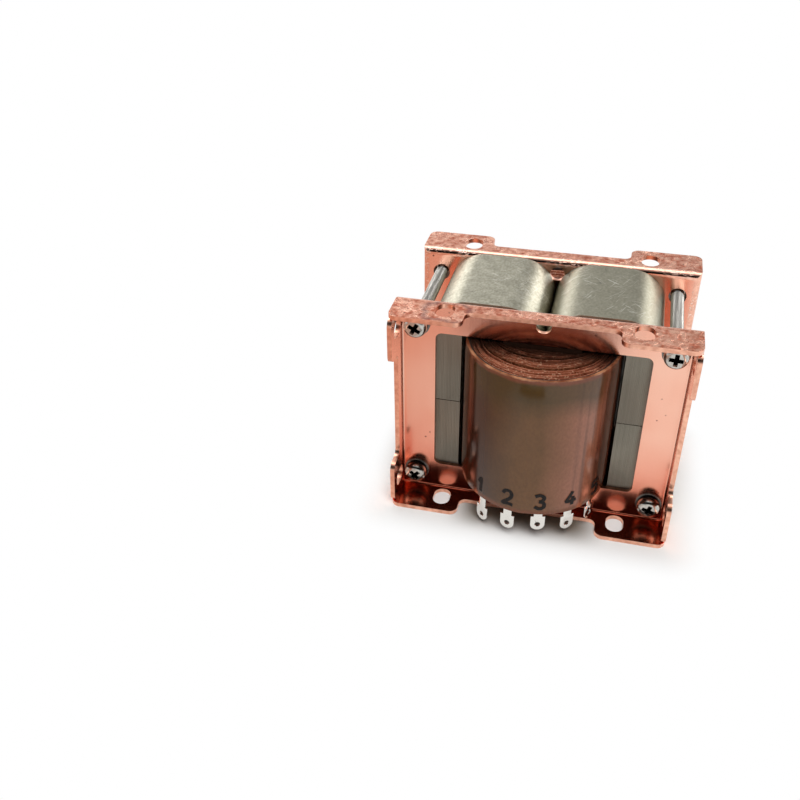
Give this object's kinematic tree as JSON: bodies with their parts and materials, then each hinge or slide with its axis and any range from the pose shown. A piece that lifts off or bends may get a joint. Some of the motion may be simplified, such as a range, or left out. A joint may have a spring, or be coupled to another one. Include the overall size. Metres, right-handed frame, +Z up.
{
  "type": "audio transformer",
  "caption": "Audio output transformer: a round-fronted coil on two cut C-cores, held between two copper plated sheet frames by long screws, with slotted mounting ears and solder lugs.",
  "frame": {"origin": "bottom centre: midway between the two frames and midway across them, on the plane of the lower flanges", "axes": "+X across the frames to the right, -Y towards the front face with the solder lugs, +Z up"},
  "size_m": [0.087, 0.0726, 0.0712],
  "materials": {
    "copper_plate": "copper plated sheet steel, satin",
    "core_steel": "wound silicon steel strip, ground and brushed",
    "gap_paper": "thin insulating paper, matte",
    "former_board": "varnished pressboard",
    "winding": "varnished wire and layer paper, dark red-brown",
    "insulation_paper": "varnished insulation paper",
    "lug_paper": "black insulation paper",
    "wrap_film": "brown translucent film, glossy",
    "tinned_brass": "tinned brass, satin",
    "bright_steel": "nickel plated steel, bright",
    "dark_steel": "blackened spring steel"
  },
  "bodies": {
    "root": {"front_frame": "copper_plate", "rear_frame": "copper_plate", "left_core_upper": "core_steel", "left_core_lower": "core_steel", "right_core_upper": "core_steel", "right_core_lower": "core_steel", "gap_papers": "gap_paper", "coil_former": "former_board", "inner_primary": "winding", "secondary": "winding", "outer_primary": "winding", "inner_interlayer": "insulation_paper", "outer_interlayer": "insulation_paper", "lug_paper": "lug_paper", "outer_wrap": "wrap_film", "clamp_screws": "bright_steel", "spring_washers": "dark_steel", "front_washers": "bright_steel", "rear_washers": "bright_steel", "nuts": "bright_steel", "solder_lug_1": "tinned_brass", "solder_lug_2": "tinned_brass", "solder_lug_3": "tinned_brass", "solder_lug_4": "tinned_brass", "solder_lug_5": "tinned_brass"}
  },
  "joints": []
}
